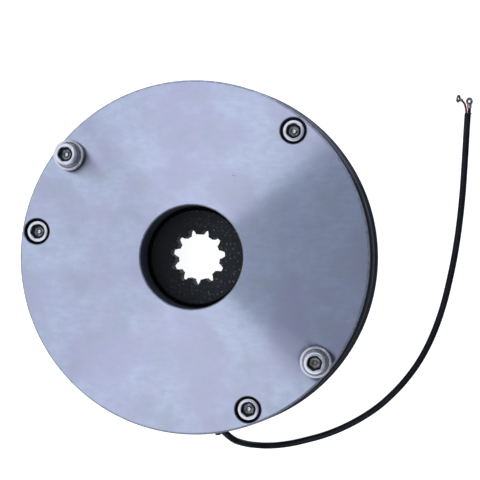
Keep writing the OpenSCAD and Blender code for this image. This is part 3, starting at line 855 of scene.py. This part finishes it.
def cap_screw(sizes, shank, finishes):
    """Cap screw with a knurled head and a thread, its head's seat at height 0 and shank below."""
    r = sizes.head_radius / MM
    top, floor, mouth, half_key = HEAD_HEIGHT, 3, 3.68, 2.5
    plated, socket, bottom, spot = 0, 1, 2, 3

    def hexagon(angle):
        sector = math.radians(60)
        return half_key / math.cos((angle + sector / 2) % sector - sector / 2)

    def rubbed(angle):
        return min(mouth - 0.02, 1.32 * hexagon(angle))

    def ridged(angle):
        return r - 0.14 * (0.5 + 0.5 * math.cos(sizes.knurl_count * angle))

    def cone(radius, sunk):
        return lambda angle: top - (mouth - radius(angle)) * 0.9 - sunk

    head = [(0, 0, plated), (4.6, 0, plated), (r - 0.16, 0.16, plated)]
    head += [(ridged, height, plated) for height in (0.3, 1.8, 3.4, 5)]
    head += [(r - back, height, plated) for back, height in (
        (0.16, 5.15), (0.03, 5.24), (0.04, 5.55), (0.15, 5.8), (0.33, 5.94), (0.55, top))]
    head += [
        (mouth + 0.06, top, plated), (mouth, top - 0.05, plated),
        # The key has rubbed the cone bright outside a hexagon
        (rubbed, cone(rubbed, 0.05), socket),
        (lambda angle: hexagon(angle) + 0.05, cone(hexagon, 0.02), socket),
        (hexagon, cone(hexagon, 0.1), socket), (hexagon, floor + 0.1, socket),
        (lambda angle: hexagon(angle) - 0.15, floor, bottom), (1.45, floor, bottom),
        (1.3, floor - 0.08, bottom), (0.9, floor - 0.33, spot), (0, floor - 0.8, spot)]
    bm = turn_up(head, 144, closed=False)

    # M6 thread of 1 mm pitch, as one helical ridge that starts inside the head
    pitch, crest, depth, sides, levels_a_turn, buried = 1, 2.97, 0.3, 32, 6, 0.2

    def thread(height):
        run_out = min(1.0, max(0.0, (shank + height) / 0.8))

        def radius(angle):
            wave = abs(((height / pitch - angle / (2 * math.pi)) % 1.0) * 2 - 1)
            return (crest - depth * wave) * (0.78 + 0.22 * run_out)
        return radius

    levels = round(shank / pitch * levels_a_turn)
    heights = [buried - (shank + buried) * k / levels for k in range(levels + 1)]
    coils = [circle(thread(height), height, sides) for height in heights]
    skin(bm, [[(0, 0, buried + 0.1)], *coils, [(0, 0, -shank)]])
    return to_piece(bm, "cap_screw", finishes, 34)


def eyelet(name, wire, matrix, finish):
    """Stamped ring terminal: a dented crimp barrel, a neck and a ring with a rolled edge."""
    bm = bmesh.new()
    sides = 28
    half = 0.25
    wide = wire / 2 + 0.34
    barrel = [[(0.3, 0, 0)]]
    for x, share in ((0.12, 0.72), (0, 0.8), (0, 0.9), (0.08, 0.98), (0.3, 1), (0.6, 0.99),
                     (0.9, 0.97), (1.2, 0.99), (1.5, 1), (1.72, 0.96), (1.8, 0.84)):
        dent = 0.26 * math.exp(-((x - 0.9) / 0.35) ** 2)
        loop = []
        for i in range(sides):
            a = 2 * math.pi * i / sides
            own = wide * share * (1 - dent * max(0, math.sin(a)) ** 4)
            # The seam of the rolled barrel runs along its underside
            own -= 0.1 * math.exp(-((a - 1.5 * math.pi) / 0.18) ** 2)
            loop.append((x, own * math.cos(a), own * math.sin(a)))
        barrel.append(loop)
    skin(bm, barrel + [[(1.8, 0, 0)]])
    octagon = ((-1, -0.7), (-0.8, -1), (0.8, -1), (1, -0.7), (1, 0.7), (0.8, 1), (-0.8, 1),
               (-1, 0.7))
    neck = [[(x, y * wide * share, z * thick) for y, z in octagon] for x, share, thick in (
        (1.3, 0.9, 0.5), (1.9, 0.85, 0.32), (2.3, 0.88, half), (2.75, 1, 0.2))]
    start, end = ([tuple(sum(c) / 8 for c in zip(*loop))] for loop in (neck[0], neck[-1]))
    skin(bm, [start, *neck, end])
    hoop = turn_up(eased(in_slot((
        (0.6, -half), (2, -half), (2, 0.12), (1.82, half), (1.5, 0.14), (1.1, 0.12), (0.85, half),
        (0.6, 0.12))), 0.08), 48)
    hoop.transform(Matrix.Translation((3.4, 0, 0)))
    merge(bm, hoop)
    bm.transform(matrix)
    return to_piece(bm, name, [finish], 40)


def spline_outline(sizes, grow_by):
    """Outline of the internal spline, whose tooth spaces have 30 degree involute flanks."""
    count, module = sizes.spline_spaces, sizes.spline_module / MM
    pitch_r = module * count / 2
    tip_r, root_r = pitch_r - 0.5 * module, pitch_r + 0.64 * module
    base_r = pitch_r * math.cos(math.radians(30))

    def involute(r):
        a = math.acos(min(1.0, base_r / r))
        return math.tan(a) - a

    def half(r):
        return math.pi / 2 / count + involute(pitch_r) - involute(r)

    inner = max(tip_r, base_r)
    radii = [inner + (root_r - inner) * i / 8 for i in range(9)]
    gap = 2 * math.pi / count - 2 * half(inner)
    points = []
    for k in range(count):
        middle = sizes.spline_angle + 2 * math.pi * k / count
        points += [(r, middle - half(r)) for r in radii]
        points += [(r, middle + half(r)) for r in radii[::-1]]
        points += [(tip_r, middle + half(inner) + gap * i / 6) for i in range(1, 6)]
    return [((r + grow_by) * math.cos(a), (r + grow_by) * math.sin(a)) for r, a in points]


# Operators, one for each piece or group of like pieces


class BrakeOperator:
    """What the brake's operators share."""

    bl_options = {"REGISTER", "UNDO"}


def settings_of(context):
    """Sizes and colours that the panel shows."""
    return context.scene.brake_sizes, context.scene.brake_colours


class BRAKE_OT_camera(BrakeOperator, bpy.types.Operator):
    """Places the camera where the photograph was taken from"""

    bl_idname = "brake.camera"
    bl_label = "Camera"

    def execute(self, context):
        data = bpy.data.cameras.new("photo_camera")
        data.lens = CAMERA_LENS
        data.clip_start = 0.01
        camera = put("photo_camera", data)
        turn = Matrix((CAMERA_RIGHT, CAMERA_UP, -CAMERA_FORWARD)).transposed().to_4x4()
        camera.matrix_world = Matrix.Translation(CAMERA_PLACE) @ turn
        context.scene.camera = camera
        return {"FINISHED"}


class BRAKE_OT_lead(BrakeOperator, bpy.types.Operator):
    """Makes the lead: its sheath, two wires, their eyelets and the grommet"""

    bl_idname = "brake.lead"
    bl_label = "Lead"

    def execute(self, context):
        sizes, colours = settings_of(context)
        mouth = lead_place(sizes).translation * MM
        rest = sizes.sheath_diameter / 2
        black = soft_vinyl("black_pvc", colours.black_vinyl, "#22242f")
        red = soft_vinyl("red_pvc", colours.red_vinyl, "#c25a62")
        tin = tinned_copper()

        line = [Vector((mouth.x + p.x * MM, mouth.y + p.y * MM,
                        rest + max(p.z, 0) * (mouth.z - rest))) for p in smooth_line(LEAD_ROUTE, 6)]
        sheath = tube("lead_sheath_cut", line, rest, 24, black)
        self.fray(sheath, line, rest)
        foot = Vector((mouth.x, mouth.y, 0))
        for core, route, thick, finish, end, turns in (
                ("red", RED_ROUTE, sizes.red_wire_diameter, red, RED_END, (166, -60, 0)),
                ("black", BLACK_ROUTE, sizes.black_wire_diameter, black, BLACK_END, (90, -4, 30))):
            run = [foot + p * MM for p in smooth_line(route, 5)]
            wire = tube(core + "_wire_core", run, thick / 2, 16, finish)
            settle(wire, "stator", core + "_pvc", core + "_wire")
            matrix = Matrix.Translation(foot / MM + Vector(end))
            for axis, turn in zip("ZYX", turns):
                matrix = matrix @ Matrix.Rotation(math.radians(turn), 4, axis)
            terminal = eyelet(core + "_eyelet_crimped", thick / MM, matrix, tin)
            settle(terminal, "stator", "tinned_copper", core + "_eyelet")
        settle(sheath, "stator", "black_pvc", "lead_sheath")
        self.grommet(sizes, colours)
        return {"FINISHED"}

    @staticmethod
    def fray(sheath, line, radius):
        """Cuts the sheath's end off ragged, with a small flap at its right."""
        end = line[-1]
        along = (line[-1] - line[-2]).normalized()
        right = along.cross(Vector((0, 0, 1)))
        for vertex in sheath.data.vertices:
            out = vertex.co - end
            if abs(out.dot(along)) < 0.1 * MM and out.length < 1.2 * radius:
                side = out.dot(right) / radius
                vertex.co -= along * (0.2 + 0.2 * math.sin(7 * side + 9 * out.z / MM)) * MM
                if side > 0.8:
                    vertex.co += right * 0.32 * MM + along * 0.1 * MM

    @staticmethod
    def grommet(sizes, colours):
        """Moulded grommet that seats in the lead hole."""
        hole, neck, head, inner_end = 1.72, 3, 4, 7.9
        bm = turn_up(eased(in_slot((
            (hole, -0.8), (2.6, -0.8), (head, 0.2), (head, 1.2), (neck, 1.2), (neck, inner_end),
            (hole, inner_end))), 0.35), 48)
        bm.transform(lead_place(sizes))
        piece = to_piece(bm, "lead_grommet_moulded", [seal_rubber(colours)])
        settle(piece, "stator", "seal_rubber", "lead_grommet")


class BRAKE_OT_magnet_body(BrakeOperator, bpy.types.Operator):
    """Turns the magnet body and drills its holes"""

    bl_idname = "brake.magnet_body"
    bl_label = "Magnet body"

    def execute(self, context):
        sizes, colours = settings_of(context)
        finishes = [turned_steel(sizes, colours), blackened_steel(colours), chamfered_edge()]
        bright, black, edge = 0, 1, 2
        r, face, pole, bore, ring = millimetres(
            sizes.body_radius, sizes.face_height, sizes.pole_height, sizes.bore_radius,
            sizes.screw_circle)
        coil_inside, coil_outside, coil_top = 36, 60, pole + 10.5
        lip_low, lip_high, lip_r = pole + 1.5, pole + 3.5, r - 1.5
        profile = in_slot((
            (bore, pole), (coil_inside, pole), (coil_inside, coil_top), (coil_outside, coil_top),
            (coil_outside, pole), (r - 0.5, pole), (r, pole + 0.5), (r, lip_low),
            (lip_r, lip_low), (lip_r, lip_high), (r, lip_high)), black)
        profile += [(r, face - 1, edge), (r - 1, face, bright), (bore + 0.6, face, edge),
                    (bore, face - 0.6, black)]
        body = to_piece(turn_up(eased(profile, 0.12), 360), "magnet_body_turned", finishes)

        tools = bmesh.new()
        beyond, lip = 0.5, 0.35
        over, under = face + beyond, pole - beyond
        counterbore, seat, shank, sleeve, sleeve_top = 6.4, face - 7, 3.3, 4.55, pole + 4
        drill(tools, around(sizes.screw_count, ring, sizes.screw_angle), 72, over, (
            (counterbore + lip + beyond, face - lip, counterbore), (counterbore, seat),
            (shank, sleeve_top), (sleeve, under)), black, edge)
        release = 3.5
        drill(tools, around(2, ring, sizes.release_angle), 48, over, ((release, under),), black)
        # Spring pockets, 30 degrees to each side of a mounting screw
        pockets, pocket_ring, pocket, pocket_top = 6, r - 17, 4.25, pole + 9
        drill(tools, around(pockets, pocket_ring, sizes.screw_angle + math.radians(30)), 36,
              pocket_top, ((pocket, under),), black)
        # Lead hole: a mouth for the grommet's head, its seat, and the way in to the coil
        drill(tools, [lead_place(sizes)], 40, -8, ((4.1, 1.2), (3.05, 8), (2, 34)), black)
        carve(body, to_piece(tools, "tools", finishes))
        settle(body, "stator", "turned_steel", "magnet_body")
        return {"FINISHED"}


class BRAKE_OT_plates(BrakeOperator, bpy.types.Operator):
    """Turns the flange plate, and finishes the armature plate"""

    bl_idname = "brake.plates"
    bl_label = "Plates"

    def execute(self, context):
        sizes, colours = settings_of(context)
        finishes = [ground_plate(colours), bpy.data.materials["blackened_steel"]]
        ground, black = 0, 1
        r, top, bore, rim, thick, ring = millimetres(
            sizes.body_radius, sizes.flange_thickness, sizes.flange_bore_radius,
            sizes.rim_radius, sizes.rim_thickness, sizes.screw_circle)
        lip_low, lip_high, lip_r = thick + 1.2, thick + 3.2, r - 1.5
        profile = [(bore + 0.6, 0, ground)]
        profile += in_slot((
            (rim - 1, 0), (rim, 1), (rim, thick - 0.5), (rim - 0.5, thick), (r, thick),
            (r, lip_low), (lip_r, lip_low), (lip_r, lip_high), (r, lip_high), (r, top - 0.5)), black)
        profile += in_slot((
            (r - 0.5, top), (bore + 0.6, top), (bore, top - 0.6), (bore, 0.6)), ground)
        flange = to_piece(turn_up(eased(profile, 0.1), 360), "flange_plate_turned", finishes)

        tools = bmesh.new()
        beyond, lip = 0.5, 0.3
        thread, hole, sink, sink_floor = 3.05, 2.75, 5, top - 5.4
        count, first = sizes.screw_count, sizes.screw_angle
        drill(tools, around(count, ring, first), 48, top + beyond, (
            (thread, lip), (thread, -beyond, thread + lip + beyond)))
        drill(tools, around(count, ring, first + math.pi / count), 48, top + beyond, (
            (sink, sink_floor), (hole, lip), (hole, -beyond, hole + lip + beyond)))
        carve(flange, to_piece(tools, "tools", finishes))
        settle(flange, "stator", "plate_steel", "flange_plate")
        paint("armature_plate", finishes[ground])
        return {"FINISHED"}


class BRAKE_OT_rotor(BrakeOperator, bpy.types.Operator):
    """Makes the rotor with its splined hub, and finishes its linings"""

    bl_idname = "brake.rotor"
    bl_label = "Rotor"

    def execute(self, context):
        sizes, colours = settings_of(context)
        coat = phosphated_rotor(colours)
        low, high, rim, plate_low, plate_high = millimetres(
            HUB_LOW.z, HUB_HIGH.z, HUB_HIGH.y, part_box("lower_lining")[1].z,
            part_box("upper_lining")[0].z)
        hub, lead_in, bevel = 23.5, 0.5, 0.3
        profile = eased(in_slot((
            (hub - lead_in, low), (hub, low + lead_in), (hub, plate_low), (rim - bevel, plate_low),
            (rim, plate_low + bevel), (rim, plate_high - bevel), (rim - bevel, plate_high),
            (hub, plate_high), (hub, high - lead_in), (hub - lead_in, high))), 0.12, closed=False)
        rotor = to_piece(turn_up([(0, low, 0)] + profile + [(0, high, 0)], 288, closed=False),
                         "rotor_hub_splined", [coat])
        lip, beyond = 0.3, 0.5
        levels = ((low - beyond, lip + beyond), (low + lip, 0), (high - lip, 0),
                  (high + beyond, lip + beyond))
        rings = [[(x, y, z) for x, y in spline_outline(sizes, extra)] for z, extra in levels]
        prism = bmesh.new()
        skin(prism, [[(0, 0, low - beyond)], *rings, [(0, 0, high + beyond)]])
        carve(rotor, to_piece(prism, "tools", [coat]), 24)
        settle(rotor, "rotor", "rotor_black", "rotor_hub")
        lining = friction_lining()
        paint("upper_lining", lining)
        paint("lower_lining", lining)
        return {"FINISHED"}


class BRAKE_OT_coil(BrakeOperator, bpy.types.Operator):
    """Finishes the coil's bobbin, winding and resin"""

    bl_idname = "brake.coil"
    bl_label = "Coil"

    def execute(self, context):
        paint("coil_bobbin", moulded_nylon())
        paint("coil_winding", enamelled_copper())
        paint("coil_potting", potting_resin())
        return {"FINISHED"}


class BRAKE_OT_screws(BrakeOperator, bpy.types.Operator):
    """Makes the mounting screws and the release screws, and finishes the sleeves and springs"""

    bl_idname = "brake.screws"
    bl_label = "Screws"

    def execute(self, context):
        sizes, colours = settings_of(context)
        nickel = nickel_plate(colours)
        # Painted shade down the key sockets: dark steel on their walls and floors, with patches of
        # oil
        shaded_walls = oiled_and_shaded_socket("oiled_steel", "#4a494b", "#2a2a2c")
        floor = oiled_and_shaded_socket("oiled_steel_floor", "#8b898b", "#3f3d3f")
        grey = oiled_and_shaded_socket("keyed_steel_floor", "#8f8a89", "#5b5655")
        finishes = [nickel, shaded_walls, floor, nickel]
        # The right release screw has a plain grey floor, with no bright spot: its painted shade is a
        # lighter copy of the left's
        plain = [nickel, shaded_walls, grey, grey]
        start = sizes.release_angle
        for nodes, body, count, angle, seed, own in (
                ("mounting_screws", "stator", sizes.screw_count, sizes.screw_angle, 3, finishes),
                ("release_screw_left", "release_left", 1, start, 11, finishes),
                ("release_screw_right", "release_right", 1, start + math.pi, 12, plain)):
            low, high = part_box(nodes)
            seat = high.z - HEAD_HEIGHT * MM
            screw = cap_screw(sizes, (seat - low.z) / MM, own)
            made = parts_on_circle(nodes + "_knurled", screw, count, sizes.screw_circle, angle,
                                   seat, nickel, seed)
            settle(made, body, "plated_steel", nodes)
        paint("gap_sleeves", nickel)
        paint("thrust_springs", spring_steel())
        return {"FINISHED"}


class BRAKE_OT_collars(BrakeOperator, bpy.types.Operator):
    """Makes the dished collars under the release screws' heads"""

    bl_idname = "brake.collars"
    bl_label = "Collars"

    def execute(self, context):
        sizes, colours = settings_of(context)
        outer, seat, hole, high, bevel = 7.5, sizes.head_radius / MM + 0.4, 3.3, 3, 0.3
        satin, black = 0, 1
        # The collar's lower bevel and outer side take blackened steel: painted shade on a plated
        # part
        bm = turn_up(eased([
            (hole, 0, satin), (outer - bevel, 0, black), (outer, bevel, black),
            (outer, high - bevel, satin), (outer - bevel, high, satin),
            (outer - 1.1, high, satin), (seat, high - 1, satin), (hole, high - 1, satin)], 0.18),
            96)
        # Each vertex keeps its place on the part, for patterns about the part's own axis
        layer = bm.verts.layers.float_vector.new("own_place")
        for vertex in bm.verts:
            vertex[layer] = vertex.co * MM
        finish = turned_collar(colours)
        collar = to_piece(bm, "collar", [finish, bpy.data.materials["blackened_steel"]])
        pair = parts_on_circle("release_collars_dished", collar, 2, sizes.screw_circle,
                               sizes.release_angle, sizes.face_height, finish, seed=5)
        settle(pair, "stator", "plated_steel", "release_collars")
        return {"FINISHED"}


class BRAKE_OT_dust_seal(BrakeOperator, bpy.types.Operator):
    """Moulds the dust seal that closes the gap round the plates"""

    bl_idname = "brake.dust_seal"
    bl_label = "Dust seal"

    def execute(self, context):
        sizes, colours = settings_of(context)
        out, low, top, body, rim = millimetres(
            SEAL_HIGH.y, SEAL_LOW.z, SEAL_HIGH.z, sizes.body_radius, sizes.rim_thickness)
        inner, lip_r, lip_height = body + 0.05, body - 1.5, 2
        foot, hook, rise, parting = 0.8, rim + 1.2, 5, low + 9
        profile = [
            (lip_r, top - lip_height), (inner, top - lip_height), (inner, hook + lip_height),
            (lip_r, hook + lip_height), (lip_r, hook), (inner, hook), (inner, low)]
        for k in range(7):
            a = math.radians(-90 + 90 * k / 6)
            profile.append((out - foot + foot * math.cos(a), low + foot + foot * math.sin(a)))
        # Parting line of the mould, 0.6 mm wide
        for up, depth in ((-0.3, 0), (-0.1, 0.1), (0.1, 0.1), (0.3, 0)):
            profile.append((out - depth, parting + up))
        for k in range(13):
            a = math.radians(90 * k / 12)
            profile.append((inner + (out - inner) * math.cos(a), top - rise + rise * math.sin(a)))
        profile.append((lip_r, top))
        seal = to_piece(turn_up(in_slot(profile), 360), "dust_seal_moulded", [seal_rubber(colours)])
        settle(seal, "stator", "seal_rubber", "dust_seal")
        return {"FINISHED"}


def softbox(name, middle, side, turn, radiance):
    """Level square light over the table, turned about the vertical, of a given brightness."""
    data = bpy.data.lights.new(name, "AREA")
    data.shape = "RECTANGLE"
    data.size = data.size_y = side
    data.energy = radiance * math.pi * side ** 2
    data.color = (0.94, 0.98, 1)
    light = put(name, data)
    light.location = middle
    light.rotation_euler = (0, 0, turn)


class BRAKE_OT_stage(BrakeOperator, bpy.types.Operator):
    """Sets up the white table and the soft studio light"""

    bl_idname = "brake.stage"
    bl_label = "Stage"

    def execute(self, context):
        white = Finish("white_table", "#f4f4f6", 0.0, 0.9, Emission_Strength=0.9)
        white.shader.inputs["Emission Color"].default_value = (1, 1, 1, 1)
        bm = bmesh.new()
        bmesh.ops.create_grid(bm, x_segments=1, y_segments=1, size=4 / MM)
        table = to_piece(bm, "white_table", [white.material])
        table.location.z = -0.05 * MM
        # The photograph's background is a plain white that no gloss mirrors
        table.visible_glossy = False
        # Three quarters of a square overhead are lit; the quarter towards +X stays dark
        side = 2.2
        reach = side / math.sqrt(2)
        for name, quarter, radiance in (
                ("box_back", 86, 0.7), ("box_left", 178, 0.66), ("box_front", 268, 0.73)):
            a = math.radians(quarter)
            middle = CORNER + Vector((reach * math.cos(a), reach * math.sin(a), 0))
            softbox(name, middle, side, a + math.radians(45), radiance)
        world = bpy.data.worlds.new("studio")
        world.use_nodes = True
        back = world.node_tree.nodes["Background"]
        back.inputs["Color"].default_value = (0.72, 0.82, 1, 1)
        # Dim at the horizon in front of +X, bright behind, and even overhead
        sky = Nodes(world.node_tree, "Generated")
        rim = sky.spread(sky.aside(0.6), -0.1, 0.7, 0.85, 0.12)
        strength = sky.spread(sky.axis("Z"), 0.1, 0.7, rim, 0.42)
        sky.tree.links.new(strength, back.inputs["Strength"])
        context.scene.world = world
        context.scene.view_settings.view_transform = "Standard"
        return {"FINISHED"}


STEPS = (BRAKE_OT_camera, BRAKE_OT_lead, BRAKE_OT_magnet_body, BRAKE_OT_plates, BRAKE_OT_rotor,
         BRAKE_OT_coil, BRAKE_OT_screws, BRAKE_OT_collars, BRAKE_OT_dust_seal, BRAKE_OT_stage)


class BRAKE_PT_pieces(bpy.types.Panel):
    """The brake's pieces, sizes and colours"""

    bl_idname = "BRAKE_PT_pieces"
    bl_label = "Brake"
    bl_space_type = "VIEW_3D"
    bl_region_type = "UI"
    bl_category = "Brake"

    def draw(self, context):
        for step in STEPS:
            self.layout.operator(step.bl_idname)
        for group in settings_of(context):
            box = self.layout.box()
            for name in group.__annotations__:
                box.prop(group, name)


CLASSES = (BrakeSizes, BrakeColours, *STEPS, BRAKE_PT_pieces)


def register():
    for item in CLASSES:
        bpy.utils.register_class(item)
    bpy.types.Scene.brake_sizes = PointerProperty(type=BrakeSizes)
    bpy.types.Scene.brake_colours = PointerProperty(type=BrakeColours)


def unregister():
    del bpy.types.Scene.brake_colours
    del bpy.types.Scene.brake_sizes
    for item in reversed(CLASSES):
        bpy.utils.unregister_class(item)


def main():
    register()
    for step in STEPS:
        group, name = step.bl_idname.split(".")
        getattr(getattr(bpy.ops, group), name)()


if __name__ == "__main__":
    main()
